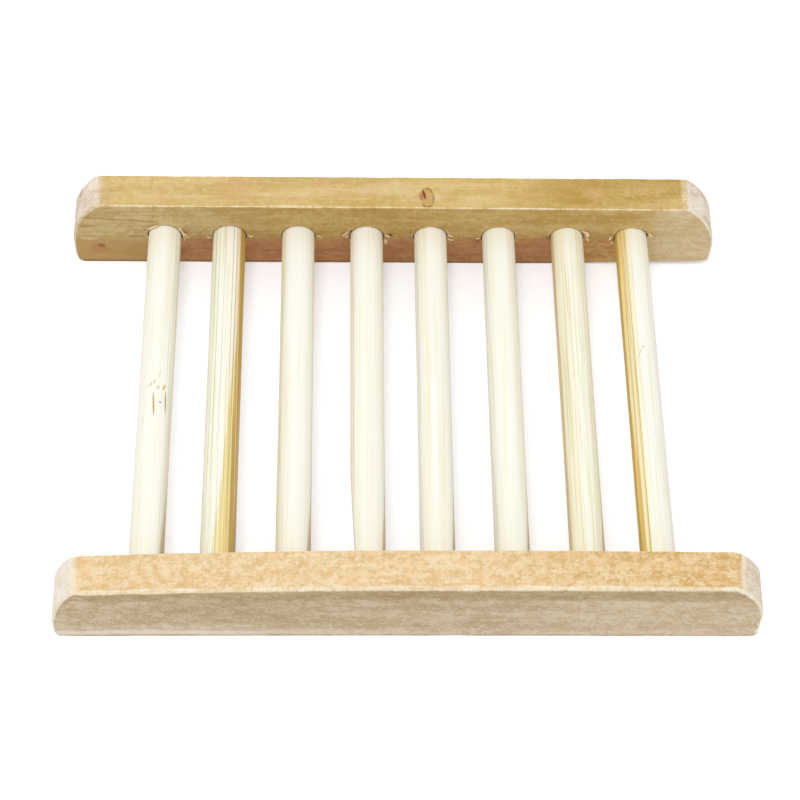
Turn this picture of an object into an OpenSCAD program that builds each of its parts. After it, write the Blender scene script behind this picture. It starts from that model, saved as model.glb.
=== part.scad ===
// Ladder soap dish of bamboo: two rails standing on edge, joined by a row of round dowels.
// Every dowel is glued into a blind socket in each rail, so no dowel end shows outside.
// X runs along the rails, Y from the front rail to the back rail, and Z up.
// The origin is on the table, under the middle of the dish.

/* [Rails] */
// Length of each rail
rail_l = 118; // [105:0.5:160]
// Thickness of each rail
rail_w = 7; // [6:0.1:12]
// Height of each rail, standing on edge
rail_h = 17; // [15:0.5:24]
// Clear span between the inner faces of the two rails
rail_span = 70.5; // [50:0.5:110]
// Radius of the curve that brings each end down from the top edge
end_round_r = 15; // [12.5:0.5:24]
// Height of that curve, measured down from the top edge
end_round_drop = 12; // [4:0.5:12]
// Radius of the lower corner of each end
foot_round_r = 2.2; // [0.8:0.1:4]
// Width of the bevel that breaks each edge of a rail
edge_break = 0.4; // [0.2:0.05:0.7]

/* [Dowels] */
// Diameter of each dowel
dowel_d = 6; // [4:0.1:8]
// Mean distance from the end of a rail to the axis of its outermost dowel
row_margin = 16.1; // [10:0.1:20]
// Height of the dowel axes above the table
dowel_axis_h = 8.2; // [5:0.1:12]
// Distance that the drilled row sits off the middle of its rail
row_offset = 0.8; // [0:0.1:3]
// Width of the bevel round each end of a dowel
dowel_bevel = 0.4; // [0.1:0.1:1]

/* [Sockets] */
// Depth of each blind socket, measured in from the rail's inner face
socket_depth = 4.5; // [3:0.1:5.5]
// Glue gap left all round a dowel in its socket
glue_gap = 0.1; // [0.05:0.01:0.3]

/* [Hidden] */
$fn = 96;

// Each gap between neighbouring dowels as a share of the mean distance, from left to right.
// It reads the same from either end, so one drilled rail fits both sides of the dish.
dowel_gap_shares = [0.968, 1.031, 1.022, 0.958, 1.022, 1.031, 0.968];
dowel_count = len(dowel_gap_shares) + 1;
// Overrun of a cutting shape past the face that it cuts
overrun = 1;

rail_wood = [0.80, 0.66, 0.49];
dowel_bamboo = [0.92, 0.87, 0.72];

dowel_pitch = (rail_l - 2 * row_margin) / share_sum(dowel_count - 1);
dowel_l = rail_span + 2 * socket_depth;
socket_d = dowel_d + 2 * glue_gap;

// Sum of the first n gap shares
function share_sum(n) = n < 1 ? 0 : dowel_gap_shares[n - 1] + share_sum(n - 1);

// Place of dowel i along X, with the row centred on the dish
function dowel_x(i) = dowel_pitch * (share_sum(i - 1) - share_sum(dowel_count - 1) / 2);

// Rectangle a by b round the origin, with its corners cut by the edge break
module bevelled_rectangle(a, b) {
    x = a / 2;
    y = b / 2;
    polygon([
        [edge_break - x, -y], [x - edge_break, -y],
        [x, edge_break - y], [x, y - edge_break],
        [x - edge_break, y], [edge_break - x, y],
        [-x, y - edge_break], [-x, edge_break - y]
    ]);
}

// Wheel of radius r, as thick as a rail, lying across the rail with both rims bevelled
module bevelled_wheel(r) {
    y = rail_w / 2;
    rotate([90, 0, 0])
        rotate_extrude()
            polygon([
                [0, -y], [r - edge_break, -y], [r, edge_break - y],
                [r, y - edge_break], [r - edge_break, y], [0, y]
            ]);
}

// Waste off the upper corner of the rail's right end
module upper_waste() {
    centre_x = rail_l / 2 - end_round_r;
    centre_z = rail_h - end_round_drop;
    difference() {
        translate([centre_x, -rail_w / 2 - overrun, centre_z])
            cube([end_round_r + overrun, rail_w + 2 * overrun, end_round_drop + overrun]);
        translate([centre_x, 0, centre_z])
            bevelled_wheel(end_round_r);
    }
}

// Waste off the lower corner of the rail's right end
module lower_waste() {
    centre_x = rail_l / 2 - foot_round_r;
    difference() {
        translate([centre_x, -rail_w / 2 - overrun, -overrun])
            cube([foot_round_r + overrun, rail_w + 2 * overrun, foot_round_r + overrun]);
        translate([centre_x, 0, foot_round_r])
            bevelled_wheel(foot_round_r);
    }
}

// Undrilled rail, centred on X and Y and standing on the table
module rail_blank() {
    difference() {
        intersection() {
            linear_extrude(rail_h)
                bevelled_rectangle(rail_l, rail_w);
            translate([0, 0, rail_h / 2])
                rotate([90, 0, 90])
                    linear_extrude(rail_l, center = true)
                        bevelled_rectangle(rail_w, rail_h);
        }
        for (end = [0, 1])
            mirror([end, 0, 0]) {
                upper_waste();
                lower_waste();
            }
    }
}

// Rail with its row of blind sockets, in its place at the front of the dish
module rail() {
    difference() {
        translate([row_offset, -(rail_span + rail_w) / 2, 0])
            rail_blank();
        for (i = [1:dowel_count])
            translate([dowel_x(i), overrun - rail_span / 2, dowel_axis_h])
                rotate([90, 0, 0])
                    cylinder(h = socket_depth + overrun, d = socket_d);
    }
}

module front_rail() {
    color(rail_wood)
        rail();
}

// The same rail turned half round
module back_rail() {
    color(rail_wood)
        rotate([0, 0, 180])
            rail();
}

// Dowel i, reaching from the floor of one socket to the floor of the other
module dowel(i) {
    r = dowel_d / 2;
    y = dowel_l / 2;
    color(dowel_bamboo)
        translate([dowel_x(i), 0, dowel_axis_h])
            rotate([90, 0, 0])
                rotate_extrude()
                    polygon([
                        [0, -y], [r - dowel_bevel, -y], [r, dowel_bevel - y],
                        [r, y - dowel_bevel], [r - dowel_bevel, y], [0, y]
                    ]);
}

front_rail();
back_rail();
for (i = [1:dowel_count])
    dowel(i);
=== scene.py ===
"""Ladder soap dish: two wooden rails standing on edge, joined by a row of bamboo dowels.

Each rail is one closed mesh: a rim carried round the rail's outline, two side faces and a row of
blind sockets. Each dowel is one closed mesh of rings. Sizes come from the frame; lengths in this
file are millimetres until a mesh is built.
"""
import math
import bpy
import numpy as np
from mathutils import Matrix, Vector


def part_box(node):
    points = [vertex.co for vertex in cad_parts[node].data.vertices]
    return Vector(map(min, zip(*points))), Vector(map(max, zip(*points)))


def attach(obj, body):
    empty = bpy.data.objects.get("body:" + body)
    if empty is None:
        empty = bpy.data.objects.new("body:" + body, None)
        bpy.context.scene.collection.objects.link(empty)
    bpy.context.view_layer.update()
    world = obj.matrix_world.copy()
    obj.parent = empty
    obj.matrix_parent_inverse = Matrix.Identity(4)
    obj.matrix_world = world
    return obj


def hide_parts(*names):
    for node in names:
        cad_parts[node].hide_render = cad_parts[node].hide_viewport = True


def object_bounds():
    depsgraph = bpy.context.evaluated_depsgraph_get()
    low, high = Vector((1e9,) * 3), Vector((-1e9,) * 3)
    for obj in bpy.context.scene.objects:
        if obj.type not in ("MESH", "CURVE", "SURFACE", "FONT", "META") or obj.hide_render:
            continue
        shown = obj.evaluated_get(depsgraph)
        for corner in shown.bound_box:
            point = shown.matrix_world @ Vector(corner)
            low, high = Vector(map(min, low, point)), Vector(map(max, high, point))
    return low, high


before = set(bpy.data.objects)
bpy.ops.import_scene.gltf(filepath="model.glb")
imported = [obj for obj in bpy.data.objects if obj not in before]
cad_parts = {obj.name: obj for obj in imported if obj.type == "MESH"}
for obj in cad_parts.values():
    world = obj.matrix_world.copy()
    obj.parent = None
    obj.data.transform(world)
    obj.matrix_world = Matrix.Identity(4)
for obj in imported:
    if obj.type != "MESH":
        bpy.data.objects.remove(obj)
cad_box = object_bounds()

MM = 0.001
DOWELS = [f"dowel_{i}" for i in range(1, 9)]


def box_mm(node):
    """Lowest and highest corner of a CAD node, in millimetres."""
    low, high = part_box(node)
    return np.array(low) / MM, np.array(high) / MM


front_low, front_high = box_mm("front_rail")
back_low, back_high = box_mm("back_rail")
rail_l, rail_w, rail_h = front_high - front_low
rail_span = back_low[1] - front_high[1]
front_shift = (front_low[0] + front_high[0]) / 2
back_shift = (back_low[0] + back_high[0]) / 2
dowel_boxes = [box_mm(name) for name in DOWELS]
dowel_places = np.array([(low + high) / 2 for low, high in dowel_boxes])
dowel_r = (dowel_boxes[0][1][2] - dowel_boxes[0][0][2]) / 2
dowel_l = dowel_boxes[0][1][1] - dowel_boxes[0][0][1]
dowel_axis_h = dowel_places[0][2]

# The rails' upper end corners: an arc of this radius over this much of their height
END_ROUND_R = 16.3
END_ROUND_DROP = 12.4
SOCKET_GAP = 0.1
SOCKET_R = dowel_r + SOCKET_GAP
SOCKET_DEPTH = (dowel_l - rail_span) / 2


# Noise and meshes

# How many random values a noise has along each axis before it repeats
NOISE_CELLS = 64


def value_noise(seed, *coordinates):
    """Smooth noise from -1 to 1: random lattice values, blended by a smoothstep along each axis."""
    lattice = np.random.default_rng(seed).uniform(-1, 1, (NOISE_CELLS,) * len(coordinates))
    cells = [np.floor(c).astype(int) for c in coordinates]
    parts = [c - np.floor(c) for c in coordinates]
    blends = [p * p * (3 - 2 * p) for p in parts]
    total = 0
    for corner in np.ndindex(*(2,) * len(coordinates)):
        weight = 1
        for step, blend in zip(corner, blends):
            weight = weight * (blend if step else 1 - blend)
        index = tuple((cell + step) % NOISE_CELLS for cell, step in zip(cells, corner))
        total = total + weight * lattice[index]
    return total


def smoothstep(low, high, value):
    """0 below low, 1 above high, and a smooth rise between them."""
    t = np.clip((value - low) / (high - low), 0, 1)
    return t * t * (3 - 2 * t)


def add_object(name, data):
    """A new object in the scene."""
    thing = bpy.data.objects.new(name, data)
    bpy.context.scene.collection.objects.link(thing)
    return thing


class MeshParts:
    """Points, faces and per-point values of one mesh, collected grid by grid."""

    def __init__(self, names=()):
        self.names = list(names)
        self.points = []
        self.values = []
        self.faces = []
        self.count = 0

    def add_points(self, points, **values):
        """Adds an array of points with their values, and returns their numbers in the array's shape."""
        shape = points.shape[:-1]
        flat = points.reshape(-1, 3)
        table = np.zeros((len(flat), len(self.names)))
        for name, value in values.items():
            table[:, self.names.index(name)] = np.broadcast_to(value, shape).reshape(-1)
        ids = np.arange(self.count, self.count + len(flat)).reshape(shape)
        self.points.append(flat)
        self.values.append(table)
        self.count += len(flat)
        return ids

    def add_grid(self, ids, keep=None):
        """Adds the quads of a grid of point numbers, or only those where keep is true."""
        quads = np.stack([ids[:-1, :-1], ids[1:, :-1], ids[1:, 1:], ids[:-1, 1:]], axis=-1)
        if keep is not None:
            quads = quads[keep]
        self.faces.extend(quads.reshape(-1, 4).tolist())

    def add_fan(self, ring, centre):
        """Closes a ring of point numbers with triangles to one centre."""
        after = np.roll(ring, -1)
        self.faces.extend(np.stack([ring, after, np.full(len(ring), centre)], axis=-1).tolist())

    def add_tube(self, points, caps, **values):
        """A closed tube from a grid of rings by angle, with a middle point for each end's cap."""
        ids = self.add_points(points, **values)
        self.add_grid(np.concatenate([ids, ids[:, :1]], axis=1))
        first = {name: np.broadcast_to(value, ids.shape)[0, 0] for name, value in values.items()}
        hubs = self.add_points(np.array(caps), **first)
        self.add_fan(ids[0], hubs[0])
        self.add_fan(ids[-1][::-1], hubs[1])

    def all_points(self):
        """Every point so far, as one array."""
        return np.concatenate(self.points)

    def build(self, name, material, flip=False, deform=None):
        """Makes the object: unused points are dropped, and flip turns every face over."""
        points = self.all_points()
        values = np.concatenate(self.values)
        if deform:
            points = deform(points)
        used = np.unique(np.concatenate([np.asarray(f) for f in self.faces]))
        number = np.full(self.count, -1)
        number[used] = np.arange(len(used))
        faces = [number[np.asarray(f)] for f in self.faces]
        if flip:
            faces = [f[::-1] for f in faces]
        mesh = bpy.data.meshes.new(name)
        mesh.from_pydata((points[used] * MM).tolist(), [], [f.tolist() for f in faces])
        for column, value_name in enumerate(self.names):
            layer = mesh.attributes.new(value_name, "FLOAT", "POINT")
            layer.data.foreach_set("value", values[used, column].astype(np.float32))
        mesh.shade_smooth()
        mesh.update()
        piece = add_object(name, mesh)
        piece.data.materials.append(material)
        return piece


# Outline of a rail, seen from the front

BREAK_ANGLE = math.asin(END_ROUND_DROP / END_ROUND_R)
ARC_REACH = END_ROUND_R * (1 - math.cos(BREAK_ANGLE))
ARC_L = END_ROUND_R * BREAK_ANGLE
FLAT_L = rail_l - 2 * ARC_REACH
TOP_L = FLAT_L + 2 * ARC_L
# The planed top falls with this power of the distance left of the middle
FALL_POWER = 1.6
# How far either side of a point its outline is averaged: on the top with its arcs, and below them
TOP_EASE = 0.6
LOW_EASE = 0.12
EASE_POINTS = 7
# The one turns into the other over this stretch before an arc's lower end
EASE_FADE = (5, 1)
NORMAL_STEP = 0.05
# Over what length a rim's sizes blend at the top's corners and before the feet
TOP_BLEND = 2
BASE_BLEND = 3


class Outline:
    """A rail's outline by the distance round it, clockwise from the left end: top, right, base, left.

    foot_r rounds both feet. fall is how much lower the rail is planed at its left end.
    """

    def __init__(self, foot_r, fall):
        self.foot_r = foot_r
        self.fall = fall
        self.end_l = rail_h - END_ROUND_DROP - foot_r
        self.base_l = rail_l - 2 * foot_r + foot_r * math.pi
        self.right_l = TOP_L + self.end_l
        self.low_l = self.right_l + self.base_l
        self.loop_l = self.low_l + self.end_l

    def half_top(self, s):
        """Point of the upper outline at distance s right of its middle: a flat, then the end's arc."""
        angle = BREAK_ANGLE - np.clip(s - FLAT_L / 2, 0, ARC_L) / END_ROUND_R
        on_arc = s > FLAT_L / 2
        x = np.where(on_arc, rail_l / 2 - END_ROUND_R * (1 - np.cos(angle)), s)
        return x, np.where(on_arc, rail_h - END_ROUND_DROP + END_ROUND_R * np.sin(angle), rail_h)

    def half_base(self, s):
        """Point of the lower outline at distance s right of its middle: a flat, then the foot's arc."""
        flat = rail_l / 2 - self.foot_r
        angle = np.clip((s - flat) / self.foot_r, 0, math.pi / 2)
        x = np.where(s > flat, flat + self.foot_r * np.sin(angle), s)
        return x, self.foot_r * (1 - np.cos(angle))

    def sharp(self, s):
        """Point at distance s, with sharp corners."""
        s = np.mod(s, self.loop_l)
        top = s - TOP_L / 2
        top_x, top_z = self.half_top(np.abs(top))
        base = s - self.right_l - self.base_l / 2
        base_x, base_z = self.half_base(np.abs(base))
        on = [s <= TOP_L, s <= self.right_l, s <= self.low_l]
        x = np.select(on, [np.sign(top) * top_x, rail_l / 2 + 0 * s, -np.sign(base) * base_x], -rail_l / 2)
        right_z = rail_h - END_ROUND_DROP + TOP_L - s
        z = np.select(on, [top_z, right_z, base_z], self.foot_r + s - self.low_l)
        planed = rail_h - self.fall * np.clip(-2 * x / rail_l, 0, 1) ** FALL_POWER
        return np.stack([x, np.minimum(z, planed)], axis=-1)

    def at(self, s):
        """Point at distance s with its corners eased: the mean of points a little before and after."""
        from_middle = np.abs(np.mod(s, self.loop_l) - TOP_L / 2)
        fade = smoothstep(TOP_L / 2 - EASE_FADE[0], TOP_L / 2 - EASE_FADE[1], from_middle)
        reach = LOW_EASE + (TOP_EASE - LOW_EASE) * (1 - fade)
        return np.mean([self.sharp(s + reach * share) for share in np.linspace(-1, 1, EASE_POINTS)], axis=0)

    def normal(self, s):
        """Outward normal, a quarter turn left of the outline's direction."""
        along = self.at(s + NORMAL_STEP) - self.at(s - NORMAL_STEP)
        normal = np.stack([-along[..., 1], along[..., 0]], axis=-1)
        return normal / np.linalg.norm(normal, axis=-1, keepdims=True)

    def round_rim(self, s, top, end, base):
        """A value round the rim: one on the top, one on the rounded ends, one underneath."""
        from_middle = np.abs(np.mod(s, self.loop_l) - TOP_L / 2)
        on_top = 1 - smoothstep((FLAT_L - TOP_BLEND) / 2, (FLAT_L + TOP_BLEND) / 2, from_middle)
        from_base = np.abs(np.mod(s, self.loop_l) - self.right_l - self.base_l / 2)
        on_base = 1 - smoothstep(self.base_l / 2 - BASE_BLEND, self.base_l / 2, from_base)
        return end + (top - end) * on_top + (base - end) * on_base


# Grid of a rail: stations along it, rows up its sides

WINDOW_HALF_W = 4.5
WINDOW_LOW = 4.2
WINDOW_HIGH = 12.2
WINDOW_CELLS = 28
STATION_STEP = 0.5
ARC_CELLS = 40
BELOW_CELLS = 9
ABOVE_CELLS = 10
SIDE_ROWS = BELOW_CELLS + WINDOW_CELLS + ABOVE_CELLS


def rail_stations(sockets):
    """Places along the rail's flat, even over each socket's window, and the windows' first places."""
    half = FLAT_L / 2
    pieces = []
    starts = []
    here = -half
    count = 0
    for centre in sockets:
        cells = max(2, int(round((centre - WINDOW_HALF_W - here) / STATION_STEP)))
        pieces.append(np.linspace(here, centre - WINDOW_HALF_W, cells + 1)[:-1])
        starts.append(count + cells)
        pieces.append(np.linspace(centre - WINDOW_HALF_W, centre + WINDOW_HALF_W, WINDOW_CELLS + 1)[:-1])
        here = centre + WINDOW_HALF_W
        count += cells + WINDOW_CELLS
    cells = max(2, int(round((half - here) / STATION_STEP)))
    pieces.append(np.linspace(here, half, cells + 1))
    return np.concatenate(pieces), np.array(starts)


RIM_NAMES = ["inner_face", "outer_face", "end_grain", "worn", "socket"]
# How worn each step of an arris is, from its face up to the top
INNER_WEAR = np.array([0.15, 0.75, 1.0, 1.0, 0.75, 0.15])
OUTER_WEAR = np.array([0.3, 1.0, 1.0, 1.0, 1.0, 0.6])
ARRIS_STEPS = len(INNER_WEAR) - 1
# Share of an arris that is a flat facet: the rest of it is a quarter round
FACET = 0.5
# How an arris's size wanders: (length, share) of two noises; and its limits
INNER_WANDER = ((2.3, 1.0), (0.7, 0.6))
OUTER_WANDER = ((3.1, 1.0), (0.8, 0.7))
ARRIS_LIMITS = (0.06, 1.6)
# Steps across the rim's flat, as shares of its width
BODY_SHARES = np.concatenate([[0.015], np.linspace(0.06, 0.94, 13), [0.985, 1.0]])
# Hollows of the rim: greatest depth, and lengths along and across it
RIM_RELIEF = (0.024, 6, 2)
# The side faces lie this far in, and wave: (height, length along, length up)
FACE_INSET = 0.04
FACE_RELIEF = ((0.025, 9, 1.3), (0.015, 2, 0.5))
# The end grain stops where the base begins, over this length
END_STOP_BLEND = 1
# Where the wear before the end grain comes in and goes, from where the end grain starts
CORNER_WEAR_IN = (-1.1, -0.7)
CORNER_WEAR_OUT = (-0.1, 0.25)


def arris_section(radius):
    """Drop from the top and depth from the face of an arris, from the face up to the top."""
    t = np.linspace(0, 1, ARRIS_STEPS + 1)[:, None]
    drop = (1 - FACET) * (1 - np.sin(t * math.pi / 2)) + FACET * (1 - t)
    depth = (1 - FACET) * (1 - np.cos(t * math.pi / 2)) + FACET * t
    return radius * drop, radius * depth


def wandering(seed, s, size, wave, noises):
    """An arris's size along the outline, made to wander by the share wave."""
    wander = sum(share * value_noise(seed + k, s / length) for k, (length, share) in enumerate(noises))
    return np.clip(size * (1 + wave * wander), *ARRIS_LIMITS)


def rail_mesh(shape, sockets, seed, inner_arris, outer_arris, wave, end_starts, tears, splinters):
    """One rail in its own place: x along it, depth in from the face with sockets, z up.

    The rim's cross-section is a flat between two arrises. inner_arris and outer_arris give their
    sizes on the top, the ends and the base, and wave the share by which they wander. end_starts
    says for the left and right end where the end grain's colour starts along the outline's arc, how
    much later it does so on the outer face than on the inner, over what length it comes in, and how
    worn the wood before it is.
    """
    parts = MeshParts(RIM_NAMES)
    flat_x, starts = rail_stations(sockets)
    arc = np.linspace(0, ARC_L, ARC_CELLS + 1)
    top_s = np.concatenate([arc[:-1], ARC_L + flat_x + FLAT_L / 2, (TOP_L - ARC_L + arc)[1:]])
    foot = np.linspace(0, (shape.base_l - FLAT_L) / 2, ARC_CELLS + 1)
    base_t = np.concatenate([foot[:-1], shape.base_l / 2 + flat_x, (shape.base_l - foot[::-1])[1:]])
    rows = np.concatenate([
        np.linspace(0, WINDOW_LOW, BELOW_CELLS + 1)[:-1],
        np.linspace(WINDOW_LOW, WINDOW_HIGH, WINDOW_CELLS + 1)[:-1],
        np.linspace(WINDOW_HIGH, rail_h, ABOVE_CELLS + 1),
    ]) / rail_h
    right_s = TOP_L + shape.end_l * (1 - rows[::-1])
    base_s = shape.low_l - base_t[::-1]
    left_s = shape.low_l + shape.end_l * rows
    loop_s = np.concatenate([top_s[:-1], right_s[:-1], base_s[:-1], left_s[:-1]])
    columns = len(top_s) - 1

    # Rim: one ring of the loop for each step across the rail
    centre = shape.at(loop_s)
    normal = shape.normal(loop_s)
    inner_r = wandering(seed, loop_s, shape.round_rim(loop_s, *inner_arris), wave, INNER_WANDER)
    outer_r = wandering(seed + 2, loop_s, shape.round_rim(loop_s, *outer_arris), wave, OUTER_WANDER)
    body = BODY_SHARES[:, None]
    inner_drop, inner_depth = arris_section(inner_r)
    outer_drop, outer_depth = [part[::-1][1:] for part in arris_section(outer_r)]
    drop = np.concatenate([inner_drop, 0 * body * inner_r, outer_drop])
    flat_depth = inner_r + (rail_w - inner_r - outer_r) * body
    depth = np.concatenate([inner_depth, flat_depth, rail_w - outer_depth])
    hollow, along, across = RIM_RELIEF
    drop = drop + hollow / 2 * (1 + value_noise(seed + 5, loop_s / along + 0 * depth, depth / across))
    xz = centre[None] - normal[None] * drop[..., None]
    points = np.stack([xz[..., 0], depth, xz[..., 1]], axis=-1)
    worn = np.concatenate([INNER_WEAR, 0 * BODY_SHARES, OUTER_WEAR[::-1][1:]])[:, None]
    worn[-1 - ARRIS_STEPS] = OUTER_WEAR[-1]
    end = 0 * depth
    end_stop = TOP_L / 2 + shape.end_l + shape.foot_r * math.pi / 2
    for side, (start, lean, blend, wear) in zip((-1, 1), end_starts):
        way = np.mod(side * (loop_s - TOP_L / 2), shape.loop_l)
        past = way - FLAT_L / 2 - start - lean * (depth / rail_w - 0.5)
        stop = smoothstep(end_stop - END_STOP_BLEND / 2, end_stop + END_STOP_BLEND / 2, way)
        end = np.maximum(end, smoothstep(-blend / 2, blend / 2, past) * (1 - stop))
        corner = smoothstep(*CORNER_WEAR_IN, past) * (1 - smoothstep(*CORNER_WEAR_OUT, past))
        worn = np.maximum(worn, wear * corner)
    first = np.zeros(len(drop))
    first[0] = 1
    rim = parts.add_points(points, worn=worn, end_grain=end,
                           inner_face=first[:, None], outer_face=first[::-1, None])
    parts.add_grid(np.concatenate([rim, rim[:, :1]], axis=1)[::-1])

    # Side faces: columns from the base row of the loop up to its top row
    for face, rim_row in (("inner_face", rim[0]), ("outer_face", rim[-1])):
        ids = np.full((columns + 1, SIDE_ROWS + 1), -1)
        ring = np.concatenate([rim_row, rim_row[:1]])
        corner = columns + SIDE_ROWS
        ids[:, SIDE_ROWS] = ring[:columns + 1]
        ids[columns, ::-1] = ring[columns:corner + 1]
        ids[::-1, 0] = ring[corner:corner + columns + 1]
        ids[0, :] = ring[corner + columns:]
        flat = parts.all_points()
        low = flat[ids[:, 0]][:, None]
        high = flat[ids[:, SIDE_ROWS]][:, None]
        inside = (low + (high - low) * rows[None, :, None])[1:-1, 1:-1]
        relief = sum(height * value_noise(seed + k, inside[..., 0] / along, inside[..., 2] / up)
                     for k, (height, along, up) in enumerate(FACE_RELIEF, 7))
        sign = 1 if face == "inner_face" else -1
        inside[..., 1] += sign * (FACE_INSET + relief)
        ids[1:-1, 1:-1] = parts.add_points(inside, **{face: 1.0})
        keep = np.ones((columns, SIDE_ROWS), bool)
        if face == "inner_face":
            for number, start in enumerate(starts):
                a = ARC_CELLS + start
                keep[a:a + WINDOW_CELLS, BELOW_CELLS:BELOW_CELLS + WINDOW_CELLS] = False
                window = ids[a:a + WINDOW_CELLS + 1, BELOW_CELLS:BELOW_CELLS + WINDOW_CELLS + 1]
                add_socket(parts, window, sockets[number], seed + 20 + number, tears.get(number + 1, []))
        else:
            ids = ids[:, ::-1]
        parts.add_grid(ids, keep)
    for number, *form in splinters:
        add_splinter(parts, sockets[number - 1], *form)
    return parts


# Sockets

# Rings from a window's square to the rim, how they crowd towards it, and how late they rise to it
WINDOW_RINGS = 8
RING_CROWD = 1.6
LIP_POWER = 5
# Rings down the wall: depth, and how much of the rim's unevenness is left; then rings on the floor
WALL_RINGS = ((0.2, 0.9), (0.5, 0.6), (1.1, 0.15), (2.6, 0.0), (SOCKET_DEPTH, 0.0))
FLOOR_RINGS = (0.66, 0.33)
# Depth of the tears as a share of what their lists give
TEAR_SHARE = 0.27
# Ragged edge: least depth, what noise adds, and this noise's size; then how uneven the tears are
RAG_LEAST = 0.02
RAG_MORE = 0.04
RAG_SIZE = 1.3
TEAR_WAVE = 0.25
TEAR_WAVE_SIZE = 0.9
# How far the rim stands proud of the face: at least, by the depth of a tear, and how unevenly
LIP_LEAST = 0.05
LIP_BY_TEAR = 0.25
LIP_WAVE = 0.4
LIP_WAVE_SIZE = 2.2
# How strong the pale wood round a rim is, where it's whole and by the depth of a tear
HALO_LEAST = 0.1
HALO_BY_TEAR = 3.0
# How strong the painted shade line over the upper half of a rim is, where the dowel meets the face
RIM_SHADE_LINE = 0.75


def degrees_apart(a, b):
    """How far two directions are apart, in degrees, the short way round."""
    return np.abs(np.mod(a - b + 180, 360) - 180)


def add_socket(parts, window, centre_x, seed, tears):
    """A blind socket: rings from its window's square to the rim, then down the wall to the floor.

    The rim is a circle with a fine ragged edge. tears are bites out of it: (direction in degrees,
    half width in degrees, depth). The wood near a tear stands slightly proud, as a drill lifts it.
    """
    square = np.concatenate([
        window[:-1, 0], window[-1, :-1], window[::-1, -1][:-1], window[0, ::-1][:-1]])
    edge = parts.all_points()[square]
    angle = np.arctan2(edge[:, 2] - dowel_axis_h, edge[:, 0] - centre_x)
    turns = np.degrees(angle) / 360 * NOISE_CELLS
    ragged = RAG_LEAST + RAG_MORE * smoothstep(-0.2, 1, value_noise(seed, turns / RAG_SIZE))
    bite = 0 * angle
    for direction, half_width, depth in tears:
        share = 1 - smoothstep(0, half_width, degrees_apart(np.degrees(angle), direction))
        bite = np.maximum(bite, TEAR_SHARE * depth * share)
    torn = ragged + bite * (1 + TEAR_WAVE * value_noise(seed + 50, turns / TEAR_WAVE_SIZE))
    wave = LIP_WAVE * value_noise(seed + 90, turns / LIP_WAVE_SIZE)
    lip = LIP_LEAST + LIP_BY_TEAR * bite * (1 - LIP_WAVE + wave)
    rim = circle_points(centre_x, SOCKET_R + torn, angle, FACE_INSET - lip)
    ring_ids = [square]
    for step in range(1, WINDOW_RINGS + 1):
        t = step / WINDOW_RINGS
        ring = edge + (rim - edge) * (1 - (1 - t) ** RING_CROWD)
        ring[:, 1] = edge[:, 1] + (rim[:, 1] - edge[:, 1]) * t ** LIP_POWER
        halo = np.clip(HALO_LEAST + HALO_BY_TEAR * bite, 0, 1) * smoothstep(0.3, 1, t)
        # A line of painted shade over the upper half of the rim, where the dowel meets the face
        line = RIM_SHADE_LINE * smoothstep(0.7, 1, t) * smoothstep(0.1, 0.7, np.sin(angle))
        ring_ids.append(parts.add_points(ring, inner_face=1.0, worn=halo * (1 - line), socket=line))
    rings = [(SOCKET_R + torn * ease, depth) for depth, ease in WALL_RINGS]
    rings += [(SOCKET_R * share, SOCKET_DEPTH) for share in FLOOR_RINGS]
    for radius, depth in rings:
        ring = circle_points(centre_x, radius, angle, depth)
        ring_ids.append(parts.add_points(ring, inner_face=1.0, socket=1.0))
    ids = np.array(ring_ids)
    parts.add_grid(np.concatenate([ids, ids[:, :1]], axis=1).T)
    hub = parts.add_points(np.array([[centre_x, SOCKET_DEPTH, dowel_axis_h]]), inner_face=1.0, socket=1.0)
    parts.add_fan(ids[-1], hub[0])


def circle_points(centre_x, radius, angle, depth):
    """Points round a socket's axis at one depth."""
    return np.stack([centre_x + radius * np.cos(angle), depth + 0 * angle,
                     dowel_axis_h + radius * np.sin(angle)], axis=-1)


# A torn fibre: its sections, points round each, half thickness, depth at its root and arch in half turns
SPLINTER_STATIONS = 11
SPLINTER_SIDES = 8
SPLINTER_HALF_T = 0.12
SPLINTER_ROOT = 0.02
SPLINTER_ARCH = 0.75
# Its width at the tip as a share, how early it's widest, and how blunt it is
SPLINTER_TIP = 0.25
SPLINTER_LEAD = 0.1
SPLINTER_BLUNT = 0.7


def add_splinter(parts, centre_x, direction, start_r, heading, turn, length, width, lift):
    """A fibre torn at a socket's rim: a flat strip with tapered ends, lifted off the face and curled.

    It starts start_r from the socket's axis in the given direction. Its heading in the face's plane
    turns steadily by turn, all in degrees. Its sections are flat ellipses across its path.
    """
    t = np.linspace(0, 1, SPLINTER_STATIONS)
    course = np.radians(heading + turn * t)
    step = length / (SPLINTER_STATIONS - 1)
    start = np.radians(direction)
    run = np.concatenate([[0], np.cumsum(np.cos(course))[:-1]]) * step
    rise = np.concatenate([[0], np.cumsum(np.sin(course))[:-1]]) * step
    out = SPLINTER_ROOT - lift * np.sin(math.pi * SPLINTER_ARCH * t)
    path = np.stack([centre_x + start_r * math.cos(start) + run, out,
                     dowel_axis_h + start_r * math.sin(start) + rise], axis=-1)
    along = np.gradient(path, axis=0)
    along /= np.linalg.norm(along, axis=1, keepdims=True)
    side = np.stack([-np.sin(course), 0 * t, np.cos(course)], axis=-1)
    face = np.cross(side, along)
    swell = np.sin(math.pi * np.clip(t * (1 - SPLINTER_LEAD) + SPLINTER_LEAD, 0, 1)) ** SPLINTER_BLUNT
    half = width / 2 * (SPLINTER_TIP + (1 - SPLINTER_TIP) * swell)
    round_angle = np.linspace(0, 2 * math.pi, SPLINTER_SIDES, endpoint=False)[None, :, None]
    across = side[:, None] * np.cos(round_angle) * half[:, None, None]
    points = path[:, None] + across + face[:, None] * np.sin(round_angle) * SPLINTER_HALF_T
    parts.add_tube(points, [path[0], path[-1]], inner_face=1.0, worn=1.0)


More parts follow.
